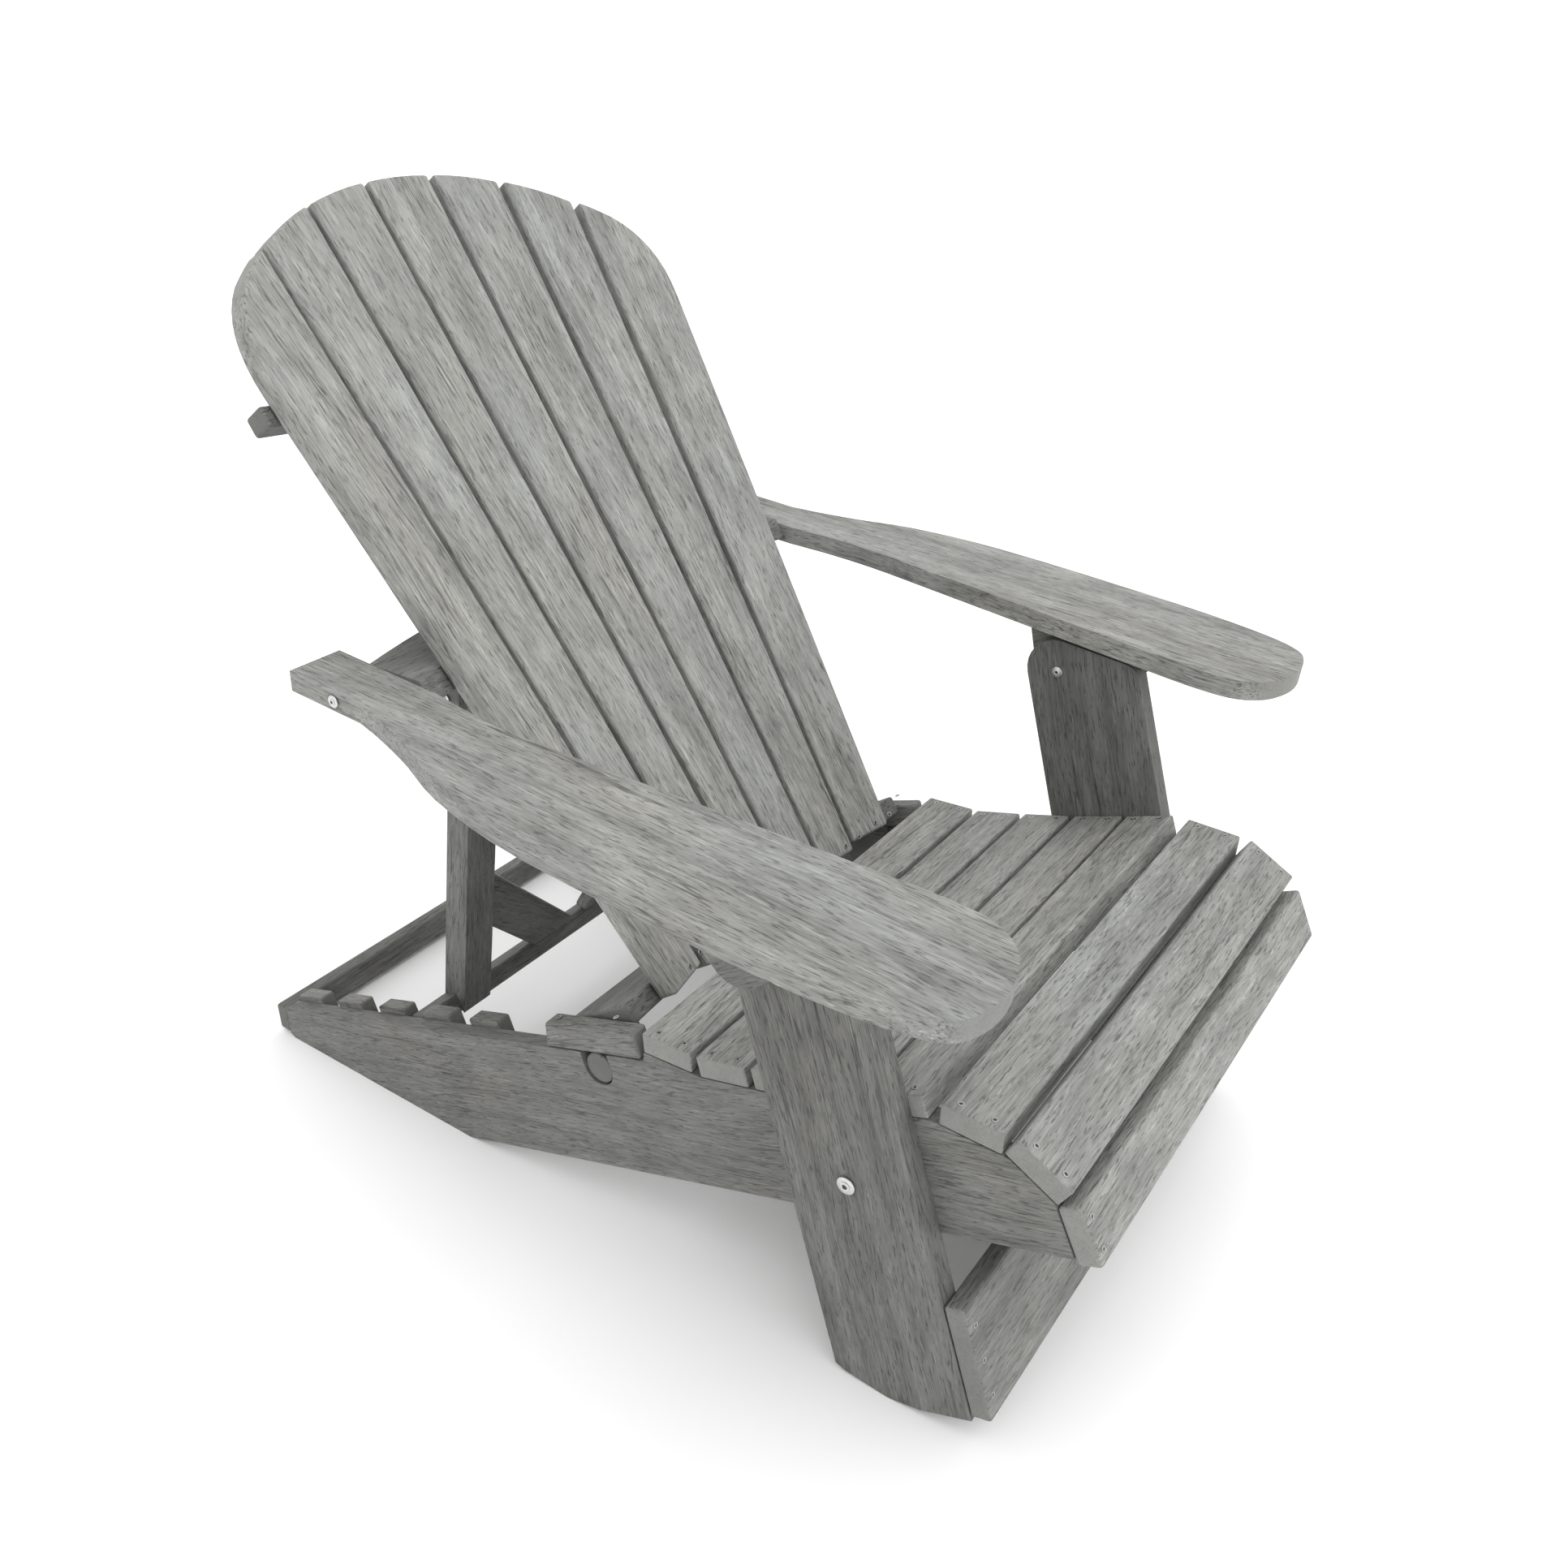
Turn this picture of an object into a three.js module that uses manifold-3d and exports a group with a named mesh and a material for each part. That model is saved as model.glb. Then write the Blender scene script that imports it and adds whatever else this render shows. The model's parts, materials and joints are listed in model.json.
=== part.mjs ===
// A reclining adirondack chair of thick boards. The fanned back pivots in notches in the side rails, the
// front legs and arms follow it as a linkage, and a prop behind it drops into a toothed rack.
// Millimetres, +Z up, the sitter faces -Y. Right and left are the sitter's own, so right is -X.
import * as THREE from "three";
import { mergeVertices } from "three/addons/utils/BufferGeometryUtils.js";
import Module from "manifold-3d";

const wasm = await Module();
wasm.setup();

// ---------------------------------------------------------------- driving dimensions
const GAP = 0.3; // between pieces that touch
const MIDDLE_Y = 405; // the origin is under the middle of the chair's length
const ROUND_STEPS = 24;
const ARC_STEPS = 12;
const SPLINE_STEPS = 72;
const SHORT_STEPS = 8;
const BOARD_STEPS = 20;

// Pivots in the side view, as [y, z].
const LEG_PIVOT = [78, 249];
const BACK_PIVOT = [398, 210];
const ARM_FRONT_PIVOT = [180, 503];
const ARM_REAR_PIVOT = [636, 596];
const PROP_PIVOT = [625.7, 553];

// Seat: rear and front edge of each slat's top face in the side view.
const SEAT_HALF = 289;
const SLAT_THICK = 24;
const SEAT_SLATS = [
  [[335, 286.5], [274, 289.5]],
  [[268, 289], [210, 304]],
  [[203, 306], [146, 322]],
  [[139, 324], [80, 343.7]],
  [[75, 345], [21, 364.5]],
  [[2.5, 365.5], [-58, 363]],
  [[-70.6, 362.9], [-122.3, 333]],
];
const APRON = [[-131.3, 320], [-156, 267]];

// Side rails. The rear part of the top edge is a straight line that falls to the rear.
const RAIL = { inner: 269, slope: 0.338, height: 364.3, rear: 946, heel: 617, toe: 938, toeRise: 5 };
const RAIL_BOTTOM_SLOPE = 0.352;
const REAR_BAR = { thick: 20, low: 5, high: 43 };
const NOTCH_RADIUS = 19.5;

// These lie along the rail's top edge: distances run down it to the rear, heights stand square to it.
const CAP = { inner: 267, front: 240.6, rear: 381.5, height: 31 };
const RACK = { inner: 249.3, outer: 268.7, front: 470, depth: 50, heel: 860, heelDepth: 44 };
const TEETH = { count: 5, first: 481.5, pitch: 86.5, length: 50, height: 8, chamfer: 2 };
const BAR = { half: 267, front: 621.5, size: 24 };

// Back: slats fanned on a hollow curve. Heights run up the back, from its foot.
const BACK_FOOT = [368, 268];
const BACK_TILT = THREE.MathUtils.degToRad(56.1);
const BACK_RADIUS = 1220;
const BACK_SLATS = { count: 7, thick: 24, pitch: 59.5, spread: 0.0343, gap: 7, turnX: 75 };
const OUTERMOST = { extra: 8, footRise: 3 }; // wider, and cut short to clear the seat as the back tilts
const DOME = { radius: 410, top: 902, shoulder: 66, shoulderShare: -0.03 };
const DOME_SHARES = [1, 0.5, 0, -0.5, -1]; // of a slat's half width, from its outer edge
const OUTER_DOME_SHARES = [-0.3, -0.65, -1];
const DOME_PASSES = 12;
const BRACE_SEAT = -26.5; // front face of the braces, just behind the slats
const UPPER_BRACE = { half: 310, low: 672, high: 693, depth: 30 };
const CLEAT = { half: 264, low: -3, high: 21, rear: -94 };
const TONGUE = { inner: 232, outer: 266, radius: 25, dowelRadius: 18, dowelEnd: 287 };

// Mid brace: level, its edges parallel with the back.
const MID_BRACE = { half: 298.6, low: 585, high: 607, front: 628, rear: 700, curve: 2024, boreDepth: 42 };
const LUG = { inner: 214.3, outer: 234, radius: 20, front: 602, rear: 650 };

// Front legs.
const LEG = { inner: 289.3, outer: 313, rearSlope: 0.27, frontSlope: 0.303, topRadius: 38.5 };
const LEG_REAR_FOOT = [85, 8];
const LEG_FRONT_FOOT = [-64, 33];
const LEG_SOLE = [[-10, 8], [25, 0], [75, 4]];
const LEG_CROWN = [[97, 532], [86, 525]];
const LEG_CROWN_LOW = 508;
const CROSSBAR = { thick: 22, low: 38, high: 160 };

// Arms: a board on a plane that rises to the rear.
const ARM = { height: 554.8, rise: 0.0817, thick: 22, rear: 698, innerRear: 299.3, outerRear: 360 };
const ARM_BORE = { inner: 279, outer: 400 }; // reaches past both faces

// The arm's plan, as [x, y]: the inner edge from the rear, the round front, then the outer edge.
const ARM_INNER_REAR = [[ARM.innerRear, 560], [305, 500], [305, 430], [296, 330]];
const ARM_INNER_FRONT = [[286, 200], [275, 90], [270, 10]];
const ARM_TIP = [[275, -30], [293, -55], [318, -68], [345, -73], [375, -69], [397, -54], [412, -8]];
const ARM_OUTER = [[423, 100], [426, 320], [410, 440], [383, 515], [368, 565], [ARM.outerRear, 600]];

const BRACKET = { inner: 313.3, outer: 335, front: 75, rear: 228, lobe: [182, 470], lobeRadius: 32 };
const BRACKET_EDGE = { rearDrop: 14, frontDrop: 12, toeRun: 22, toeDrop: 34, lobeTurn: 0.78 * Math.PI };
const BRACKET_HOLE = 9; // wide, because the bolt only passes through it

// Prop.
const PROP_LEG = { inner: 170, outer: 214, lean: Math.atan(0.1785), depth: 32.5, lipDepth: 20, tipZ: 104 };
const PROP_REACH = 400;
const PROP_BRACE = { high: 261, low: 343.3, foot: 430, footInner: 10, footOuter: 86, thick: 20 };

// Bolts.
const SHANK_RADIUS = 4.5;
const BORE_RADIUS = 4.9;
const BIG_HEAD = { radius: 9.5, thick: 3.6 };
const SMALL_HEAD = { radius: 6.5, thick: 2.8 };
const HEAD_SHARES = [1, 0.85, 0.55]; // of the head's radius, from its rim
const HEAD_CURVE = 0.8;
const ARM_BOLT_END = 262;

// ---------------------------------------------------------------- groups and materials
const chair = new THREE.Group();
const body = new THREE.Group();
body.position.y = -MIDDLE_Y;
chair.add(body);

// Inside this group Y runs up the back and Z points out of its front.
const back = new THREE.Group();
back.position.set(0, BACK_FOOT[0], BACK_FOOT[1]);
back.rotation.x = BACK_TILT;
body.add(back);

function lumber() {
  return new THREE.MeshStandardMaterial({ color: 0x92938d, roughness: 0.72, metalness: 0 });
}

function paleLumber() {
  return new THREE.MeshStandardMaterial({ color: 0x9ea09a, roughness: 0.7, metalness: 0 });
}

function stainless() {
  return new THREE.MeshStandardMaterial({ color: 0xc4c6c6, roughness: 0.28, metalness: 1 });
}

function add(name, geometry, material, parent = body) {
  const mesh = new THREE.Mesh(geometry, material);
  mesh.name = name;
  parent.add(mesh);
}

function addPair(name, geometryFor, material, parent = body) {
  add(`right_${name}`, geometryFor(-1), material(), parent);
  add(`left_${name}`, geometryFor(1), material(), parent);
}

// ---------------------------------------------------------------- shape tools
const vectors = (points) => points.map(([a, b]) => new THREE.Vector2(a, b));

function arc([a, b], radius, from, to, steps) {
  return Array.from({ length: steps + 1 }, (_, i) => {
    const turn = from + ((to - from) * i) / steps;
    return [a + radius * Math.cos(turn), b + radius * Math.sin(turn)];
  });
}

function bore(centre, radius = BORE_RADIUS) {
  const step = (2 * Math.PI) / ROUND_STEPS;
  return new THREE.Path(vectors(arc(centre, radius, 0, 2 * Math.PI - step, ROUND_STEPS - 1)));
}

function smooth(points, steps) {
  return new THREE.SplineCurve(vectors(points)).getPoints(steps).map(({ x, y }) => [x, y]);
}

function extrude(outline, depth, holes = []) {
  const shape = new THREE.Shape(vectors(outline));
  shape.holes = holes;
  return new THREE.ExtrudeGeometry(shape, { depth, bevelEnabled: false, steps: 1 });
}

// Turns a side-view outline into a board between two X planes.
function crosswise(outline, from, to, holes = []) {
  const [x, y, z] = [[0, 1, 0], [0, 0, 1], [1, 0, 0]].map((axis) => new THREE.Vector3(...axis));
  const turned = new THREE.Matrix4().makeBasis(x, y, z);
  return extrude(outline, to - from, holes).applyMatrix4(turned).translate(from, 0, 0);
}

function sideBoard(outline, inner, outer, side, holes = []) {
  return side > 0 ? crosswise(outline, inner, outer, holes) : crosswise(outline, -outer, -inner, holes);
}

function rod(centre, radius, inner, outer, side) {
  const geometry = new THREE.CylinderGeometry(radius, radius, outer - inner, ROUND_STEPS);
  return geometry.rotateZ(Math.PI / 2).translate((side * (inner + outer)) / 2, centre[0], centre[1]);
}

function solid(geometry) {
  const bare = geometry.clone();
  bare.deleteAttribute("normal");
  bare.deleteAttribute("uv");
  const merged = mergeVertices(bare, 1e-3);
  const vertProperties = merged.attributes.position.array;
  const triVerts = new Uint32Array(merged.index.array);
  return new wasm.Manifold(new wasm.Mesh({ numProp: 3, vertProperties, triVerts }));
}

function surface(manifold) {
  const mesh = manifold.getMesh();
  const geometry = new THREE.BufferGeometry();
  geometry.setAttribute("position", new THREE.BufferAttribute(mesh.vertProperties, 3));
  geometry.setIndex(new THREE.BufferAttribute(mesh.triVerts, 1));
  geometry.computeVertexNormals();
  return geometry;
}

// A board whose long edges follow front(x) and rear(x).
function curvedOutline(half, front, rear) {
  const across = Array.from({ length: BOARD_STEPS + 1 }, (_, i) => half * ((2 * i) / BOARD_STEPS - 1));
  return [...across.map((x) => [x, front(x)]), ...across.reverse().map((x) => [x, rear(x)])];
}

// ---------------------------------------------------------------- rail coordinates
const RAIL_ANGLE = Math.atan(RAIL.slope);
const railTop = (y) => RAIL.height - RAIL.slope * y;
const railBottom = (y) => (RAIL.heel - y) * RAIL_BOTTOM_SLOPE;

function railPoint(run, rise) {
  const out = RAIL.height * Math.cos(RAIL_ANGLE) + rise;
  return [
    run * Math.cos(RAIL_ANGLE) + out * Math.sin(RAIL_ANGLE),
    out * Math.cos(RAIL_ANGLE) - run * Math.sin(RAIL_ANGLE),
  ];
}

// ---------------------------------------------------------------- seat frame
// The underside of a slat, from its top edge points.
function underside([rear, front], depth) {
  const length = Math.hypot(front[0] - rear[0], front[1] - rear[1]);
  const down = [(rear[1] - front[1]) / length, (front[0] - rear[0]) / length];
  return [rear, front].map(([y, z]) => [y + down[0] * depth, z + down[1] * depth]);
}

function slatOutline(top) {
  const [rear, front] = underside(top, SLAT_THICK);
  return [top[0], top[1], front, rear];
}

function crossing([a, b], [c, d]) {
  const r = [b[0] - a[0], b[1] - a[1]];
  const s = [d[0] - c[0], d[1] - c[1]];
  const share = ((c[0] - a[0]) * s[1] - (c[1] - a[1]) * s[0]) / (r[0] * s[1] - r[1] * s[0]);
  return [a[0] + r[0] * share, a[1] + r[1] * share];
}

// A U-shaped notch, open at the rail's top edge, that holds the dowel of the back.
function notchOutline() {
  const turn = -RAIL_ANGLE;
  const curve = arc(BACK_PIVOT, NOTCH_RADIUS, turn, turn - Math.PI, ARC_STEPS);
  const [y, z] = BACK_PIVOT;
  const run = y * Math.cos(RAIL_ANGLE) - z * Math.sin(RAIL_ANGLE);
  return [railPoint(run + NOTCH_RADIUS, 0), ...curve, railPoint(run - NOTCH_RADIUS, 0)];
}

function railOutline() {
  const under = [...SEAT_SLATS, APRON].map((top) => underside(top, SLAT_THICK + GAP));
  const bottom = [[RAIL.heel, 0], [0, railBottom(0)]];
  const seatRear = SEAT_SLATS[0][0][0];
  return [
    [RAIL.heel, 0],
    [RAIL.toe, 0],
    [RAIL.rear, RAIL.toeRise],
    [RAIL.rear, railTop(RAIL.rear)],
    ...notchOutline(),
    [seatRear, railTop(seatRear)],
    ...under.slice(0, 5).flat(),
    under[5][0],
    crossing(under[5], under[6]),
    crossing(under[6], under[7]),
    crossing(under[7], bottom),
  ];
}

function rackOutline() {
  const floor = -BAR.size - GAP;
  const points = [railPoint(RACK.front, -RACK.depth), railPoint(RACK.front, floor)];
  for (let i = 0; i < TEETH.count; i += 1) {
    const front = TEETH.first + i * TEETH.pitch;
    const rear = front + TEETH.length;
    points.push(railPoint(front, floor), railPoint(front, TEETH.height - TEETH.chamfer));
    points.push(railPoint(front + TEETH.chamfer, TEETH.height));
    points.push(railPoint(rear - TEETH.chamfer, TEETH.height));
    points.push(railPoint(rear, TEETH.height - TEETH.chamfer));
    if (i < TEETH.count - 1) points.push(railPoint(rear, floor));
  }
  const end = TEETH.first + (TEETH.count - 1) * TEETH.pitch + TEETH.length;
  return [...points, railPoint(end, -RACK.heelDepth), railPoint(RACK.heel, -RACK.depth)];
}

function addSeatFrame() {
  SEAT_SLATS.forEach((top, i) => {
    add(`seat_slat_${i + 1}`, crosswise(slatOutline(top), -SEAT_HALF, SEAT_HALF), paleLumber());
  });
  add("front_apron", crosswise(slatOutline(APRON), -SEAT_HALF, SEAT_HALF), paleLumber());
  const rail = (side) => sideBoard(railOutline(), RAIL.inner, SEAT_HALF, side, [bore(LEG_PIVOT)]);
  addPair("rail", rail, lumber);
  addPair("rack", (side) => sideBoard(rackOutline(), RACK.inner, RACK.outer, side), lumber);
  const capRearTop = CAP.rear - (CAP.height - GAP) * RAIL.slope;
  const cap = [[CAP.front, GAP], [CAP.rear, GAP], [capRearTop, CAP.height], [CAP.front, CAP.height]];
  const capOutline = cap.map(([run, rise]) => railPoint(run, rise));
  addPair("pivot_cap", (side) => sideBoard(capOutline, CAP.inner, SEAT_HALF, side), lumber);
  const front = RAIL.rear + GAP;
  const rear = front + REAR_BAR.thick;
  const bar = [[front, REAR_BAR.low], [rear, REAR_BAR.low], [rear, REAR_BAR.high], [front, REAR_BAR.high]];
  add("rear_crossbar", crosswise(bar, -SEAT_HALF, SEAT_HALF), lumber());
}

// ---------------------------------------------------------------- back
const hollow = (x) => BACK_RADIUS - Math.sqrt(BACK_RADIUS ** 2 - x ** 2);
const slatCentre = (place, rise) => place * (BACK_SLATS.pitch + BACK_SLATS.spread * rise);
const halfWidth = (rise) => (BACK_SLATS.pitch + BACK_SLATS.spread * rise - BACK_SLATS.gap) / 2;
const domeAt = (x) => DOME.top - DOME.radius + Math.sqrt(DOME.radius ** 2 - x ** 2);

const atShare = (share) => (rise) => share * halfWidth(rise);
const outermostEdge = (rise) => halfWidth(rise) + OUTERMOST.extra;

// Where the dome cuts a slat, in the slat's own plane, at the distance across that acrossAt gives.
function domePoint(place, acrossAt) {
  const lean = Math.atan(place * BACK_SLATS.spread);
  let rise = DOME.top;
  for (let i = 0; i < DOME_PASSES; i += 1) {
    const across = acrossAt(rise);
    const x = place * BACK_SLATS.pitch + rise * Math.sin(lean) + across * Math.cos(lean);
    rise = (domeAt(x) + across * Math.sin(lean)) / Math.cos(lean);
  }
  return [acrossAt(rise), rise];
}

// The outermost slat is a little wider, with its outer corner rounded off.
function shoulder(place) {
  const corner = domePoint(place, outermostEdge);
  const low = corner[1] - DOME.shoulder;
  const points = vectors([[outermostEdge(low), low], corner, domePoint(place, atShare(DOME.shoulderShare))]);
  return new THREE.QuadraticBezierCurve(...points).getPoints(SHORT_STEPS).map(({ x, y }) => [x, y]);
}

function backSlatOutline(place) {
  const distance = Math.abs(place);
  const outermost = distance === (BACK_SLATS.count - 1) / 2;
  const shares = outermost ? OUTER_DOME_SHARES : DOME_SHARES;
  const top = shares.map((share) => domePoint(distance, atShare(share)));
  const low = outermost ? OUTERMOST.footRise : 0;
  const foot = [[-halfWidth(low), low], [outermost ? outermostEdge(low) : halfWidth(low), low]];
  const outline = [...foot, ...(outermost ? shoulder(distance) : []), ...top];
  return place < 0 ? outline.map(([a, b]) => [-a, b]) : outline;
}

function backSlat(place) {
  const [low, high] = [slatCentre(place, 0), slatCentre(place, DOME.top)];
  const foot = new THREE.Vector3(low, 0, hollow(low));
  const along = new THREE.Vector3(high, DOME.top, hollow(high)).sub(foot).normalize();
  const turn = Math.asin((BACK_SLATS.turnX * place) / BACK_RADIUS);
  const out = new THREE.Vector3(-Math.sin(turn), 0, Math.cos(turn));
  out.addScaledVector(along, -out.dot(along)).normalize();
  const across = along.clone().cross(out);
  const geometry = extrude(backSlatOutline(place), BACK_SLATS.thick).translate(0, 0, -BACK_SLATS.thick);
  return geometry.applyMatrix4(new THREE.Matrix4().makeBasis(across, along, out).setPosition(foot));
}

// A board square to the back, its front edge on the slats' curve.
function squareBoard({ half, low, high }, rear) {
  const outline = curvedOutline(half, (x) => hollow(x) + BRACE_SEAT, rear);
  return extrude(outline, high - low).rotateX(Math.PI / 2).translate(0, high, 0);
}

// The pivot of the back, in the back's own group.
function pivotInBack() {
  const [y, z] = [BACK_PIVOT[0] - BACK_FOOT[0], BACK_PIVOT[1] - BACK_FOOT[1]];
  const [cos, sin] = [Math.cos(BACK_TILT), Math.sin(BACK_TILT)];
  return [y * cos + z * sin, z * cos - y * sin];
}

function tongue(side) {
  const pivot = pivotInBack();
  const top = CLEAT.low - GAP;
  const outline = [
    [top, pivot[1] + TONGUE.radius],
    ...arc(pivot, TONGUE.radius, Math.PI / 2, (3 * Math.PI) / 2, ARC_STEPS),
    [top, pivot[1] - TONGUE.radius],
  ];
  const plate = solid(sideBoard(outline, TONGUE.inner, TONGUE.outer, side));
  const buried = (TONGUE.inner + TONGUE.outer) / 2;
  return surface(plate.add(solid(rod(pivot, TONGUE.dowelRadius, buried, TONGUE.dowelEnd, side))));
}

function midBrace() {
  const { half, low, high, curve, boreDepth } = MID_BRACE;
  const follow = (start) => (x) => start - x ** 2 / curve;
  const geometry = extrude(curvedOutline(half, follow(MID_BRACE.front), follow(MID_BRACE.rear)), high - low);
  const slant = 1 / Math.tan(BACK_TILT);
  geometry.translate(0, 0, low - high);
  geometry.applyMatrix4(new THREE.Matrix4().set(1, 0, 0, 0, 0, 1, slant, 0, 0, 0, 1, 0, 0, 0, 0, 1));
  geometry.translate(0, 0, high);
  const bored = (side) => solid(rod(ARM_REAR_PIVOT, BORE_RADIUS, half - boreDepth, half + boreDepth, side));
  return surface(solid(geometry).subtract(bored(-1)).subtract(bored(1)));
}

function lugOutline() {
  const top = MID_BRACE.low - GAP;
  const round = arc(PROP_PIVOT, LUG.radius, 0, -Math.PI, ARC_STEPS);
  return [[LUG.front, top], [LUG.rear, top], ...round];
}

function addBack() {
  const middle = (BACK_SLATS.count - 1) / 2;
  for (let i = 0; i < BACK_SLATS.count; i += 1) {
    add(`back_slat_${i + 1}`, backSlat(i - middle), paleLumber(), back);
  }
  const upperRear = (x) => hollow(x) + BRACE_SEAT - UPPER_BRACE.depth;
  add("upper_brace", squareBoard(UPPER_BRACE, upperRear), lumber(), back);
  add("bottom_cleat", squareBoard(CLEAT, () => CLEAT.rear), lumber(), back);
  addPair("pivot_tongue", tongue, lumber, back);
  add("mid_brace", midBrace(), lumber());
  const lug = (side) => sideBoard(lugOutline(), LUG.inner, LUG.outer, side, [bore(PROP_PIVOT)]);
  addPair("prop_lug", lug, lumber);
}

// ---------------------------------------------------------------- front legs
const legFront = (z) => LEG_FRONT_FOOT[0] + LEG.frontSlope * (z - LEG_FRONT_FOOT[1]);

function legOutline() {
  const lean = Math.atan(LEG.rearSlope);
  const top = arc(ARM_FRONT_PIVOT, LEG.topRadius, -lean, Math.PI / 2, SHORT_STEPS);
  const crown = smooth([...LEG_CROWN, [legFront(LEG_CROWN_LOW), LEG_CROWN_LOW]], SHORT_STEPS);
  return [LEG_FRONT_FOOT, ...LEG_SOLE, LEG_REAR_FOOT, ...top, ...crown];
}

function addFrontLegs() {
  const holes = () => [bore(LEG_PIVOT), bore(ARM_FRONT_PIVOT)];
  addPair("front_leg", (side) => sideBoard(legOutline(), LEG.inner, LEG.outer, side, holes()), lumber);
  const lean = Math.atan(LEG.frontSlope);
  const edge = [CROSSBAR.low, CROSSBAR.high].map((z) => [legFront(z), z]);
  const before = (points, distance) =>
    points.map(([y, z]) => [y - distance * Math.cos(lean), z + distance * Math.sin(lean)]);
  const outline = [...before(edge, GAP), ...before(edge, GAP + CROSSBAR.thick).reverse()];
  add("front_crossbar", crosswise(outline, -LEG.outer, LEG.outer), lumber());
}

// ---------------------------------------------------------------- arms
// The plan of an arm: straight past the mid brace, then swelling to a round front.
function armOutline() {
  const edge = smooth([...ARM_INNER_REAR, ...ARM_INNER_FRONT, ...ARM_TIP, ...ARM_OUTER], SPLINE_STEPS);
  return [[ARM.innerRear, ARM.rear], ...edge, [ARM.outerRear, ARM.rear]];
}

function armBoard(side) {
  const tilt = Math.atan(ARM.rise);
  const outline = armOutline().map(([x, y]) => [side * x, y / Math.cos(tilt)]);
  const board = extrude(outline, ARM.thick).translate(0, 0, -ARM.thick);
  board.rotateX(tilt).translate(0, 0, ARM.height);
  const cut = rod(ARM_REAR_PIVOT, BORE_RADIUS, ARM_BORE.inner, ARM_BORE.outer, side);
  return surface(solid(board).subtract(solid(cut)));
}

function bracketOutline() {
  const drop = ARM.thick / Math.cos(Math.atan(ARM.rise)) + GAP;
  const under = (y) => [y, ARM.height + ARM.rise * y - drop];
  const { front, rear, lobe, lobeRadius } = BRACKET;
  const { rearDrop, frontDrop, toeRun, toeDrop, lobeTurn } = BRACKET_EDGE;
  const [frontTop, rearTop] = [under(front), under(rear)];
  return [
    frontTop,
    rearTop,
    [rear, rearTop[1] - rearDrop],
    ...arc(lobe, lobeRadius, 0, -lobeTurn, SHORT_STEPS),
    [front + toeRun, frontTop[1] - toeDrop],
    [front, frontTop[1] - frontDrop],
  ];
}

function addArms() {
  addPair("arm", armBoard, paleLumber);
  const hole = () => [bore(ARM_FRONT_PIVOT, BRACKET_HOLE)];
  const bracket = (side) => sideBoard(bracketOutline(), BRACKET.inner, BRACKET.outer, side, hole());
  addPair("arm_bracket", bracket, lumber);
}

// ---------------------------------------------------------------- prop
// A point of the prop's side view, from its distance down from the pivot and behind the centre line.
function propPoint(down, behind) {
  const [cos, sin] = [Math.cos(PROP_LEG.lean), Math.sin(PROP_LEG.lean)];
  return [PROP_PIVOT[0] + down * sin + behind * cos, PROP_PIVOT[1] - down * cos + behind * sin];
}

// The leg stands on the bar with a rebate, and a tapering lip runs down in front of it.
function propLegOutline() {
  const half = PROP_LEG.depth / 2;
  const edge = (behind) => [propPoint(0, behind), propPoint(PROP_REACH, behind)];
  const barTop = [railPoint(BAR.front, GAP), railPoint(BAR.front + BAR.size, GAP)];
  const level = [[0, PROP_LEG.tipZ], [1, PROP_LEG.tipZ]];
  return [
    ...arc(PROP_PIVOT, half, Math.PI + PROP_LEG.lean, PROP_LEG.lean, ARC_STEPS),
    crossing(edge(half), barTop),
    railPoint(BAR.front - GAP, GAP),
    railPoint(BAR.front - GAP, -PROP_LEG.lipDepth),
    crossing(edge(-half), level),
  ];
}

function propBrace(side) {
  const { high, low, foot, footInner, footOuter, thick } = PROP_BRACE;
  const face = PROP_LEG.inner - GAP;
  const outline = [[face, -high], [face, -low], [footOuter, -foot], [footInner, -foot]];
  const geometry = extrude(outline.map(([x, z]) => [side * x, z]), thick).translate(0, 0, -thick / 2);
  geometry.rotateX(Math.PI / 2 + PROP_LEG.lean);
  return geometry.translate(0, PROP_PIVOT[0], PROP_PIVOT[1]);
}

function addProp() {
  const leg = (side) => sideBoard(propLegOutline(), PROP_LEG.inner, PROP_LEG.outer, side, [bore(PROP_PIVOT)]);
  addPair("prop_leg", leg, lumber);
  const rear = BAR.front + BAR.size;
  const corners = [[BAR.front, -BAR.size], [rear, -BAR.size], [rear, 0], [BAR.front, 0]];
  const outline = corners.map(([run, rise]) => railPoint(run, rise));
  add("prop_bar", crosswise(outline, -BAR.half, BAR.half), lumber());
  addPair("prop_brace", propBrace, lumber);
}

// ---------------------------------------------------------------- bolts
// A domed head and a plain shank along X. The head's seat is at seatX and it looks towards facing.
function bolt([y, z], head, seatX, shank, facing) {
  const dome = HEAD_SHARES.map((share) => [
    head.radius * share,
    head.thick * Math.sqrt(1 - (share * HEAD_CURVE) ** 2),
  ]);
  const profile = [[0, -shank], [SHANK_RADIUS, -shank], [SHANK_RADIUS, 0], [head.radius, 0]];
  const points = vectors([...profile, ...dome, [0, head.thick]]);
  const geometry = new THREE.LatheGeometry(points, ROUND_STEPS).rotateZ(-Math.PI / 2);
  if (facing < 0) geometry.rotateY(Math.PI);
  return geometry.translate(seatX, y, z);
}

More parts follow.
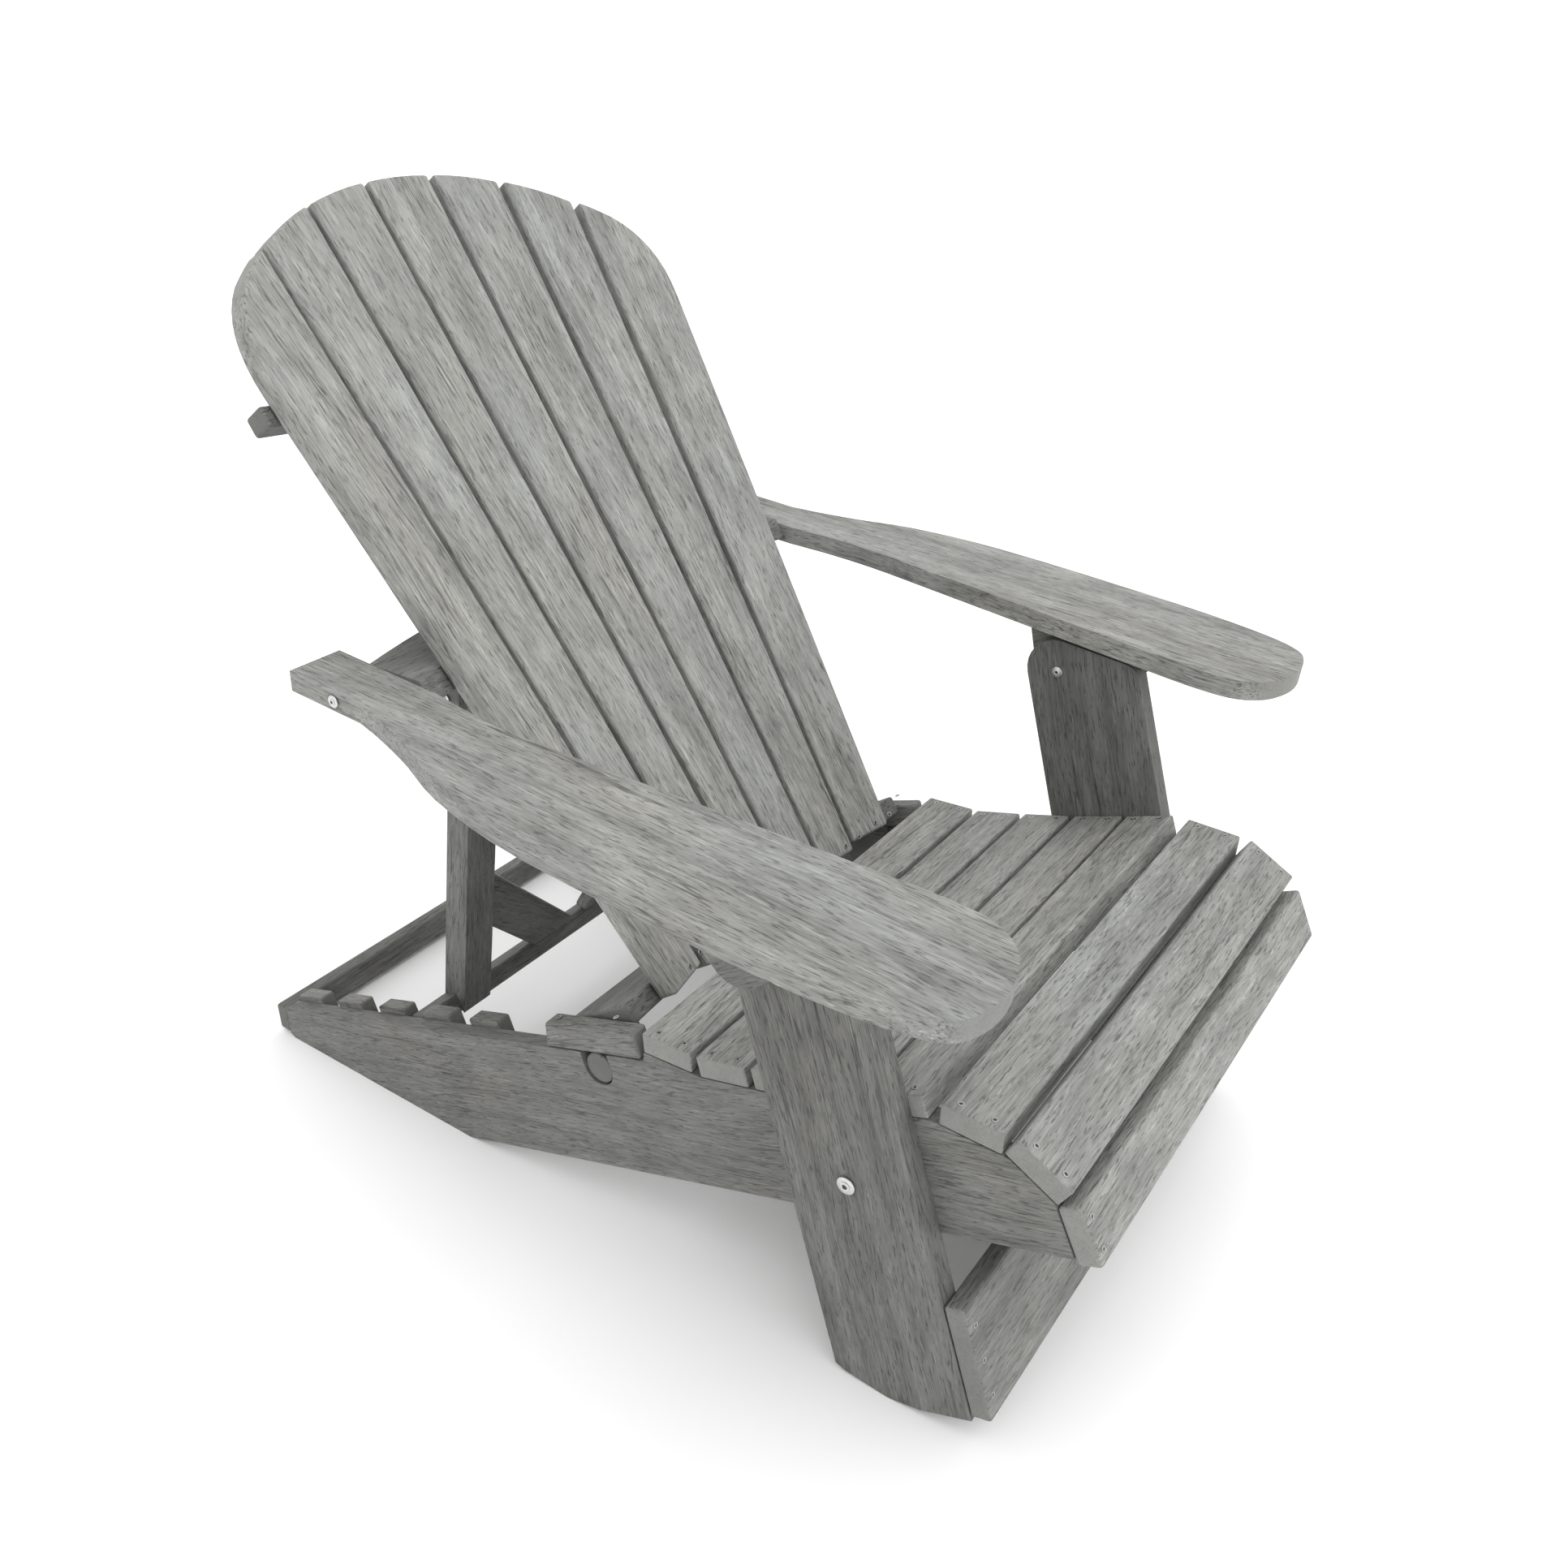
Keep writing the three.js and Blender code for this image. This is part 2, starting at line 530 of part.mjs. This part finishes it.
function addBolts() {
  const outside = (pivot, head, seat, end) => (side) => bolt(pivot, head, side * seat, seat - end, side);
  addPair("leg_bolt", outside(LEG_PIVOT, BIG_HEAD, LEG.outer + GAP, RAIL.inner + 1), stainless);
  addPair("arm_rear_bolt", outside(ARM_REAR_PIVOT, SMALL_HEAD, ARM.outerRear + GAP, ARM_BOLT_END), stainless);
  addPair("prop_bolt", outside(PROP_PIVOT, SMALL_HEAD, LUG.outer + GAP, PROP_LEG.inner + 2), stainless);
  const seat = LEG.inner - GAP;
  const inward = (side) => bolt(ARM_FRONT_PIVOT, SMALL_HEAD, side * seat, BRACKET.outer - 1 - seat, -side);
  addPair("arm_front_bolt", inward, stainless);
}

addSeatFrame();
addBack();
addFrontLegs();
addArms();
addProp();
addBolts();

export default chair;
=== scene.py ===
"""The looks of a reclining adirondack chair of grey plastic lumber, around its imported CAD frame."""

import json
import math
import random

import bmesh
import bpy
import numpy as np
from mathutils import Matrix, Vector


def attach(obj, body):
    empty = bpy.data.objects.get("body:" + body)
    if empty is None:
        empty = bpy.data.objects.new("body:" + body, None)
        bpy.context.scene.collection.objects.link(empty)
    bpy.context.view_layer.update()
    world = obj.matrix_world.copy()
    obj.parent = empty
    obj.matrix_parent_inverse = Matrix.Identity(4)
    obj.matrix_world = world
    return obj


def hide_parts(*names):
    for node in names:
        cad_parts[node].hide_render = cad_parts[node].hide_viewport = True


# Shapes, in metres
MM = 0.001
WELD = 0.01 * MM
FLAT = math.radians(1)
SHARP = math.radians(32)
ROUND_SEGMENTS = 3
EDGE_ROUND = 3.6 * MM
SMALL_ROUND = {
    "prop_leg": 1.4 * MM,
    "pivot_tongue": 1.8 * MM,
    "prop_lug": 2.2 * MM,
    "rack": 1.6 * MM,  # the arm brackets too, whose name holds this word
    "bolt": 0.5 * MM,
    "seat_slat": 2.2 * MM,
}

# Painted light and shade of each group of boards. The lumber is all one grey, but boards seen mostly by
# their upright side faces, such as the legs, rails and prop, are made darker for the shade on those faces.
# Boards seen from above are made lighter where the light falls. The first name that fits is taken.
PAINTED_LIGHT_TONES = {
    "arm_bracket": 0.72,
    "arm": 1.03,
    "back_slat": 1.17,
    "seat_slat": 1.07,
    "front_apron": 1.07,
    "front_leg": 0.57,
    "front_crossbar": 0.80,
    "pivot_cap": 0.78,
    "rail": 0.64,
    "rack": 0.66,
    "prop": 0.57,
}
# Painted shade for any other board
OTHER_PAINTED_SHADE = 0.62
TONE_SPREAD = (0.95, 1.05)
SEED = 7
PLACE_SEEDS = (0, 40)
SEED_SHARES = (1, 0.7, 1.3)

# Grain layers: repeats in a metre along the board, repeats across it, and detail
BROAD = (3.0, 52, 3.0)
FINE = (26, 400, 4.0)
PITS = (58, 560, 2.0)
CHALK = (46, 500, 2.0)
MOTTLE = (13, 24, 3.0)
LINES = (2.6, 70, 2.0)
PATCHES = (4, 9, 1.0)
STREAK_ROUGHNESS = 0.6

# Shifts that keep layers of the same kind apart
CHALK_SHIFT = (7, 3, 5)
LINES_SHIFT = (2, 9, 4)
PATCHES_SHIFT = (5, 1, 8)

# The slow waver of the grain
WAVER_REPEATS = (3.5, 9, 9)
WAVER_DETAIL = 2.0
WAVER_REACH = (0, 0.022, 0.022)
NOISE_MIDDLE = 0.5

# How the layers turn into shade. A range is where a layer starts and stops showing.
BROAD_SHARE = 0.42
FINE_SHARE = 0.58
SHADES = [(0.30, 0.100), (0.43, 0.188), (0.53, 0.245), (0.70, 0.330)]
SHADE_MIDDLE = 0.47
TINTS = [(0.36, (0.98, 1.0, 0.95)), (0.66, (1.01, 1.0, 0.93))]
PIT_RANGE = (0.57, 0.65)
PIT_SHADE = 0.50
CHALK_RANGE = (0.60, 0.70)
CHALK_SHADE = 1.34
CLOUD_RANGE = (0.34, 0.66)
CLOUD_SHADES = (0.86, 1.12)
CRACK_PATCHES = (0.44, 0.58)
CRACK_SHADE = 0.52
CRACK_RANGE = (0.004, 0.016)

# Sawn ends: how squarely a face looks along the board, and the share of the grain left there
END_RANGE = (0.55, 0.85)
END_KEEP = 0.3

# Relief and gloss of the boards
PIT_RELIEF_RANGE = (0.56, 0.68)
PIT_RELIEF = 0.7
BUMP_STRENGTH = 0.55
BUMP_DEPTH = 0.7 * MM
NOISE_RANGE = (0.3, 0.7)
LUMBER_ROUGHNESS = (0.62, 0.82)

# Steel, as the grey of its dull and bright marks. The recess greys are painted shade: near black for the
# shade deep in a driving recess.
BOLT_GREYS = (0.52, 0.70)
SCREW_GREYS = (0.26, 0.40)
RECESS_PAINTED_SHADE_GREYS = (0.05, 0.09)
MARK_SCALE = 900.0
MARK_DETAIL = 3.0
STEEL_ROUGHNESS = (0.24, 0.40)

# Screw heads: each ring's share of the radius and of the rise, then the recess
SCREW_RADIUS = 3.3 * MM
SCREW_RISE = 0.5 * MM
LEG_DRIVE = 5.6 * MM
SMALL_DRIVE = 3.8 * MM
SCREW_SIDES = 24
SCREW_RINGS = [(1.0, -0.6), (1.0, 0.3), (0.92, 0.85), (0.8, 1.0), (0.55, 1.0)]
RECESS_SHARE = 0.85
RECESS_FLOOR = 0.25

# Places of the screws from the middle of a board, in metres
SLATS = range(1, 8)
RAIL_LINE = 0.279
LEG_LINE = 0.301
SLAT_ROWS = (-0.016, 0.016)
FRONT_BAR_ROWS = (-0.04, 0, 0.04)
REAR_BAR_ROWS = (-0.009, 0.009)
CAP_SCREW = 0.045
PROP_SCREW = 0.07
FOOT_SCREW_RISE = 0.010
FOOT_ROWS = (-0.013, 0.013)

# Directions that a board's face looks in
UP = (0, 0, 1)
FRONT = (0, -1, 0.3)
REAR = (0, 1, 0)
SITTER = (0, -0.83, 0.56)

# Camera, floor and light
CAMERA_PLACE = (-1.1059, -0.8089, 1.1732)
CAMERA_AIM = (0.7187, 0.4990, -0.4843)
CAMERA_LENS = 32.14
FLOOR_HALF = 200
FLOOR_GREYS = (0.94, 0.96)
FLOOR_MARKS = 3.0
FLOOR_ROUGHNESS = 0.95
STUDIO_STRENGTH = 1.15
LIGHT_SPREAD = math.radians(70)
LIGHT_ENERGY = 1.0
LIGHT_AIM = (-0.1, 0.4, -0.9)

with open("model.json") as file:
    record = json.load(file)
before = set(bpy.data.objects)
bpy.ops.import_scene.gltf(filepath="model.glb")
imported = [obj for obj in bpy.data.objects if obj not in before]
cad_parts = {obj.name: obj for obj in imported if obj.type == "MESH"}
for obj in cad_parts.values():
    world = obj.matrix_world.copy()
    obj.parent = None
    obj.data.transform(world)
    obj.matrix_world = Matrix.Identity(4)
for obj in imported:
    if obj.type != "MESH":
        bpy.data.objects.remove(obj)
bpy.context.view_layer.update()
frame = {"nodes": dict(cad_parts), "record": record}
body_of_node = {
    name: body for body, names in frame["record"]["behaviour"]["bodies"].items() for name in names
}


# ---------------------------------------------------------------- board frames
def board_frame(name):
    """Directions roughly along, across and through a CAD board, and its extents on them.

    They come from the centres of the board's triangles. Where one end has many small triangles, as
    the domed back slats do, the directions lie a few degrees off the board's own.
    """
    mesh = frame["nodes"][name].data
    points = np.array([vertex.co for vertex in mesh.vertices])
    areas = np.array([polygon.area for polygon in mesh.polygons])
    centres = np.array([polygon.center for polygon in mesh.polygons])
    middle = np.average(centres, axis=0, weights=areas)
    spread = np.cov((centres - middle).T, aweights=areas)
    axes = np.linalg.eigh(spread)[1].T[::-1]
    reach = points @ axes.T
    return [Vector(axis) for axis in axes], reach.min(axis=0), reach.max(axis=0)


def on_face(name, toward, along, across):
    """A point on the side that looks toward of the box around the board in its own directions.

    The distances are from the middle of that side. Where the directions are off, the point can lie
    off the board.
    """
    axes, low, high = board_frame(name)
    toward = Vector(toward)
    pick = max((0, 1, 2), key=lambda index: abs(axes[index].dot(toward)))
    sign = 1 if axes[pick].dot(toward) > 0 else -1
    others = [index for index in (0, 1, 2) if index != pick]
    spot = axes[pick] * float(high[pick] if sign > 0 else low[pick])
    for index, distance in zip(others, (along, across)):
        spot = spot + axes[index] * (float(low[index] + high[index]) / 2 + distance)
    return spot, axes[pick] * sign


# ---------------------------------------------------------------- shader tools
def node(tree, kind, inputs=None, **settings):
    """A new shader node. An input that is a socket is linked, and any other is set."""
    made = tree.nodes.new(kind)
    for key, value in settings.items():
        setattr(made, key, value)
    for key, value in (inputs or {}).items():
        if isinstance(value, bpy.types.NodeSocket):
            tree.links.new(value, made.inputs[key])
        else:
            made.inputs[key].default_value = value
    return made


def maths(tree, operation, a, b):
    return node(tree, "ShaderNodeMath", {0: a, 1: b}, operation=operation).outputs[0]


def vectors(tree, operation, a, b):
    return node(tree, "ShaderNodeVectorMath", {0: a, 1: b}, operation=operation)


def window(tree, value, low, high, start=0.0, end=1.0):
    """A value stretched from low..high to start..end and held there."""
    inputs = {"Value": value, "From Min": low, "From Max": high, "To Min": start, "To Max": end}
    return node(tree, "ShaderNodeMapRange", inputs).outputs["Result"]


def streaks(tree, place, along, across, detail):
    """Noise drawn out along the board. Along and across are repeats in a metre."""
    scaled = vectors(tree, "MULTIPLY", place, (along, across, across)).outputs[0]
    inputs = {"Vector": scaled, "Scale": 1.0, "Detail": detail, "Roughness": STREAK_ROUGHNESS}
    return node(tree, "ShaderNodeTexNoise", inputs).outputs[0]


def ramp(tree, value, stops):
    made = node(tree, "ShaderNodeValToRGB", {0: value})
    elements = made.color_ramp.elements
    while len(elements) < len(stops):
        elements.new(NOISE_MIDDLE)
    for element, (position, colour) in zip(elements, stops):
        element.position = position
        element.color = (*colour, 1)
    return made.outputs[0]


def greys(shades):
    """Ramp stops from one grey to another over the range that noise mostly takes."""
    return [(at, (shade, shade, shade)) for at, shade in zip(NOISE_RANGE, shades)]


def new_material(name):
    material = bpy.data.materials.new(name)
    material.use_nodes = True
    return material, material.node_tree, material.node_tree.nodes["Principled BSDF"]


# ---------------------------------------------------------------- materials
def board_place(tree, axes, seed):
    """Coordinates along, across and through the board, with a slow waver so that the grain wanders."""
    point = node(tree, "ShaderNodeTexCoord").outputs["Object"]
    parts = [vectors(tree, "DOT_PRODUCT", point, tuple(axis)).outputs["Value"] for axis in axes]
    place = node(tree, "ShaderNodeCombineXYZ", dict(enumerate(parts))).outputs[0]
    shift = tuple(seed * share for share in SEED_SHARES)
    place = vectors(tree, "ADD", place, shift).outputs[0]
    slow = vectors(tree, "MULTIPLY", place, WAVER_REPEATS).outputs[0]
    inputs = {"Vector": slow, "Scale": 1.0, "Detail": WAVER_DETAIL}
    waver = node(tree, "ShaderNodeTexNoise", inputs).outputs[1]
    centred = vectors(tree, "SUBTRACT", waver, (NOISE_MIDDLE, NOISE_MIDDLE, NOISE_MIDDLE)).outputs[0]
    offset = vectors(tree, "MULTIPLY", centred, WAVER_REACH).outputs[0]
    return vectors(tree, "ADD", place, offset).outputs[0]


def calmed(tree, value, middle, keep):
    """The value drawn in towards the middle where keep is low."""
    away = maths(tree, "MULTIPLY", maths(tree, "SUBTRACT", value, middle), keep)
    return maths(tree, "ADD", away, middle)


def lumber(name, axes, painted_light_and_tone, seed):
    """Grey plastic lumber with an embossed, weathered wood grain along the board and plain sawn ends. Its
    greys are scaled by a tone that paints the light or shade of the board's group, times a small random
    spread.
    """
    material, tree, shader = new_material(name)
    place = board_place(tree, axes, seed)
    facing = node(tree, "ShaderNodeTexCoord").outputs["Normal"]
    lengthways = vectors(tree, "DOT_PRODUCT", facing, tuple(axes[0])).outputs["Value"]
    endways = maths(tree, "ABSOLUTE", lengthways, 0)
    keep = window(tree, endways, *END_RANGE, 1.0, END_KEEP)
    broad = streaks(tree, place, *BROAD)
    fine = streaks(tree, place, *FINE)
    pits = streaks(tree, place, *PITS)
    chalk = streaks(tree, vectors(tree, "ADD", place, CHALK_SHIFT).outputs[0], *CHALK)
    mottle = streaks(tree, place, *MOTTLE)
    lines = streaks(tree, vectors(tree, "ADD", place, LINES_SHIFT).outputs[0], *LINES)
    patches = streaks(tree, vectors(tree, "ADD", place, PATCHES_SHIFT).outputs[0], *PATCHES)
    broad_part = maths(tree, "MULTIPLY", broad, BROAD_SHARE)
    mix = maths(tree, "ADD", broad_part, maths(tree, "MULTIPLY", fine, FINE_SHARE))
    # The grain's greys, lightened or darkened by the painted light and shade of the board's group
    stops = [(at, (shade * painted_light_and_tone, shade * painted_light_and_tone, shade * painted_light_and_tone)) for at, shade in SHADES]
    colour = ramp(tree, calmed(tree, mix, SHADE_MIDDLE, keep), stops)
    dark = window(tree, pits, *PIT_RANGE, 1.0, PIT_SHADE)
    light = window(tree, chalk, *CHALK_RANGE, 1.0, CHALK_SHADE)
    cloud = window(tree, mottle, *CLOUD_RANGE, *CLOUD_SHADES)
    from_line = maths(tree, "ABSOLUTE", maths(tree, "SUBTRACT", lines, NOISE_MIDDLE), 0)
    shown = window(tree, patches, *CRACK_PATCHES, 1.0, CRACK_SHADE)
    crack = window(tree, from_line, *CRACK_RANGE, shown, 1.0)
    specks = maths(tree, "MULTIPLY", dark, light)
    factor = maths(tree, "MULTIPLY", specks, maths(tree, "MULTIPLY", cloud, crack))
    tinted = vectors(tree, "MULTIPLY", colour, ramp(tree, patches, TINTS)).outputs[0]
    scaled = node(tree, "ShaderNodeVectorMath", {0: tinted}, operation="SCALE")
    tree.links.new(calmed(tree, factor, 1.0, keep), scaled.inputs["Scale"])
    tree.links.new(scaled.outputs[0], shader.inputs["Base Color"])
    tree.links.new(window(tree, fine, *NOISE_RANGE, *LUMBER_ROUGHNESS), shader.inputs["Roughness"])
    sunk = maths(tree, "MULTIPLY", window(tree, pits, *PIT_RELIEF_RANGE), PIT_RELIEF)
    height = maths(tree, "MULTIPLY", maths(tree, "SUBTRACT", fine, sunk), keep)
    inputs = {"Height": height, "Strength": BUMP_STRENGTH, "Distance": BUMP_DEPTH}
    bump = node(tree, "ShaderNodeBump", inputs)
    tree.links.new(bump.outputs[0], shader.inputs["Normal"])
    return material


def steel(name, shades):
    """Stainless steel with faint marks."""
    material, tree, shader = new_material(name)
    shader.inputs["Metallic"].default_value = 1.0
    point = node(tree, "ShaderNodeTexCoord").outputs["Object"]
    inputs = {"Vector": point, "Scale": MARK_SCALE, "Detail": MARK_DETAIL}
    marks = node(tree, "ShaderNodeTexNoise", inputs).outputs[0]
    tree.links.new(ramp(tree, marks, greys(shades)), shader.inputs["Base Color"])
    tree.links.new(window(tree, marks, *NOISE_RANGE, *STEEL_ROUGHNESS), shader.inputs["Roughness"])
    return material


def floor_material():
    material, tree, shader = new_material("pale_floor")
    point = node(tree, "ShaderNodeTexCoord").outputs["Object"]
    tint = node(tree, "ShaderNodeTexNoise", {"Vector": point, "Scale": FLOOR_MARKS}).outputs[0]
    tree.links.new(ramp(tree, tint, greys(FLOOR_GREYS)), shader.inputs["Base Color"])
    shader.inputs["Roughness"].default_value = FLOOR_ROUGHNESS
    return material


# ---------------------------------------------------------------- shaped pieces
def rounding(name):
    return next((width for part, width in SMALL_ROUND.items() if part in name), EDGE_ROUND)


def soften(mesh):
    for polygon in mesh.polygons:
        polygon.use_smooth = True
    mesh.set_sharp_from_angle(angle=SHARP)


def shaped(name, material):
    """The CAD node's shape with its coplanar faces joined and its edges rounded inwards."""
    shape = bmesh.new()
    shape.from_mesh(frame["nodes"][name].data)
    bmesh.ops.remove_doubles(shape, verts=shape.verts, dist=WELD)
    bmesh.ops.dissolve_limit(
        shape, angle_limit=FLAT, verts=shape.verts, edges=shape.edges, use_dissolve_boundaries=False
    )
    mesh = bpy.data.meshes.new(f"{name}_shape")
    shape.to_mesh(mesh)
    shape.free()
    piece = bpy.data.objects.new(f"{name}_finished", mesh)
    bpy.context.scene.collection.objects.link(piece)
    mesh.materials.append(material)
    soften(mesh)
    bevel = piece.modifiers.new("rounded_edges", "BEVEL")
    bevel.width = rounding(name)
    bevel.segments = ROUND_SEGMENTS
    bevel.limit_method = "ANGLE"
    bevel.angle_limit = SHARP
    bevel.use_clamp_overlap = True
    piece.modifiers.new("even_normals", "WEIGHTED_NORMAL").keep_sharp = True
    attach(piece, body_of_node[name])
    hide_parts(name)


# The painted light or shade of a board's group
def painted_light_tone_of(name):
    return next((painted_light_and_tone for part, painted_light_and_tone in PAINTED_LIGHT_TONES.items() if part in name), OTHER_PAINTED_SHADE)


def finish_boards_and_bolts(bright):
    order = random.Random(SEED)
    for name in sorted(frame["nodes"]):
        if "bolt" in name:
            shaped(name, bright)
            continue
        # Painted light or shade of the group, times a small random spread of tone
        painted_light_and_tone = painted_light_tone_of(name) * order.uniform(*TONE_SPREAD)
        seed = order.uniform(*PLACE_SEEDS)
        shaped(name, lumber(f"{name}_lumber", board_frame(name)[0], painted_light_and_tone, seed))


# ---------------------------------------------------------------- screws
def screw_mesh(name, radius, rise, bright, dark):
    """A flat head with a rounded rim and a round driving recess, whose floor is painted dark for the shade
    deep inside it.
    """
    turns = [2 * math.pi * index / SCREW_SIDES for index in range(SCREW_SIDES)]
    shape = bmesh.new()
    loops = []
    for share, height in SCREW_RINGS:
        spots = [(radius * share * math.cos(turn), radius * share * math.sin(turn)) for turn in turns]
        loops.append([shape.verts.new((x, y, rise * height)) for x, y in spots])
    rim = [vertex.co for vertex in loops[-1]]
    floor = [shape.verts.new((co.x * RECESS_SHARE, co.y * RECESS_SHARE, rise * RECESS_FLOOR)) for co in rim]
    loops.append(floor)
    for low, high in zip(loops, loops[1:]):
        for here in range(SCREW_SIDES):
            there = (here + 1) % SCREW_SIDES
            shape.faces.new((low[here], low[there], high[there], high[here]))
    shape.faces.new(list(reversed(loops[0])))
    # Painted shade: the recess floor takes the near-black second material
    shape.faces.new(floor).material_index = 1
    mesh = bpy.data.meshes.new(name)
    shape.to_mesh(mesh)
    shape.free()
    mesh.materials.append(bright)
    mesh.materials.append(dark)
    soften(mesh)
    return mesh


def add_screw(mesh, name, body, place, normal):
    piece = bpy.data.objects.new(name, mesh)
    bpy.context.scene.collection.objects.link(piece)
    piece.location = place
    piece.rotation_mode = "QUATERNION"
    piece.rotation_quaternion = normal.to_track_quat("Z", "Y")
    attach(piece, body)


def add_screws(mesh, name, toward, spots):
    for index, (along, across) in enumerate(spots):
        place, normal = on_face(name, toward, along, across)
        add_screw(mesh, f"{name}_screw_{index + 1}", body_of_node[name], place, normal)


def both_ends(end, rows):
    return [(along, across) for along in (-end, end) for across in rows]


def add_bolt_drives(bright, dark):
    """The driving recess in the head of each bolt, its floor painted dark for shade."""
    large = screw_mesh("leg_bolt_drive", LEG_DRIVE, SCREW_RISE, bright, dark)
    small = screw_mesh("small_bolt_drive", SMALL_DRIVE, SCREW_RISE, bright, dark)
    for side, outward in (("right", -1), ("left", 1)):
        for bolt, mesh, facing in (
            ("leg_bolt", large, outward),
            ("arm_rear_bolt", small, outward),
            ("prop_bolt", small, outward),
            ("arm_front_bolt", small, -outward),
        ):
            name = f"{side}_{bolt}"
            place, normal = on_face(name, (facing, 0, 0), 0, 0)
            add_screw(mesh, f"{name}_drive", body_of_node[name], place, normal)


def add_all_screws(bright, dark):
    mesh = screw_mesh("screw_head", SCREW_RADIUS, SCREW_RISE, bright, dark)
    for slat in SLATS:
        add_screws(mesh, f"seat_slat_{slat}", UP, both_ends(RAIL_LINE, SLAT_ROWS))
    add_screws(mesh, "front_apron", FRONT, both_ends(RAIL_LINE, SLAT_ROWS))
    add_screws(mesh, "front_crossbar", FRONT, both_ends(LEG_LINE, FRONT_BAR_ROWS))
    add_screws(mesh, "rear_crossbar", REAR, both_ends(RAIL_LINE, REAR_BAR_ROWS))
    for side in ("right", "left"):
        add_screws(mesh, f"{side}_pivot_cap", UP, both_ends(CAP_SCREW, (0,)))
    for side, outward in (("right", -1), ("left", 1)):
        add_screws(mesh, f"{side}_prop_leg", (outward, 0, 0), [(PROP_SCREW, 0)])
    add_back_screws(mesh)


def add_back_screws(mesh):
    """Two screws near the foot of each back slat. One of each two lies off its slat."""
    for slat in SLATS:
        name = f"back_slat_{slat}"
        axes, low, high = board_frame(name)
        down = -1 if axes[0].z > 0 else 1
        distance = down * (float(high[0] - low[0]) / 2 - FOOT_SCREW_RISE)
        add_screws(mesh, name, SITTER, [(distance, across) for across in FOOT_ROWS])


# ---------------------------------------------------------------- camera, floor and light
def add_camera():
    camera = bpy.data.objects.new("camera", bpy.data.cameras.new("camera"))
    bpy.context.scene.collection.objects.link(camera)
    camera.location = CAMERA_PLACE
    camera.rotation_mode = "QUATERNION"
    camera.rotation_quaternion = Vector(CAMERA_AIM).to_track_quat("-Z", "Y")
    camera.data.lens = CAMERA_LENS
    bpy.context.scene.camera = camera


def add_floor():
    half = FLOOR_HALF
    shape = bpy.data.meshes.new("floor")
    corners = [(-half, -half, 0), (half, -half, 0), (half, half, 0), (-half, half, 0)]
    shape.from_pydata(corners, [], [(0, 1, 2, 3)])
    shape.materials.append(floor_material())
    floor = bpy.data.objects.new("floor", shape)
    bpy.context.scene.collection.objects.link(floor)


def add_light():
    """An even white studio with one broad, very soft light above the front of the chair."""
    world = bpy.data.worlds.new("studio")
    world.use_nodes = True
    background = world.node_tree.nodes["Background"]
    background.inputs["Color"].default_value = (1, 1, 1, 1)
    background.inputs["Strength"].default_value = STUDIO_STRENGTH
    bpy.context.scene.world = world
    bpy.context.scene.view_settings.view_transform = "Standard"
    light = bpy.data.lights.new("overhead", "SUN")
    light.angle = LIGHT_SPREAD
    light.energy = LIGHT_ENERGY
    lamp = bpy.data.objects.new("overhead", light)
    bpy.context.scene.collection.objects.link(lamp)
    lamp.rotation_mode = "QUATERNION"
    lamp.rotation_quaternion = Vector(LIGHT_AIM).to_track_quat("-Z", "Y")


add_camera()
add_floor()
add_light()
bolt_steel = steel("bolt_steel", BOLT_GREYS)
screw_steel = steel("screw_steel", SCREW_GREYS)
# Near-black steel that paints the shade deep in the driving recesses
recess_painted_shade = steel("recess_painted_shade", RECESS_PAINTED_SHADE_GREYS)
finish_boards_and_bolts(bolt_steel)
add_bolt_drives(bolt_steel, recess_painted_shade)
add_all_screws(screw_steel, recess_painted_shade)
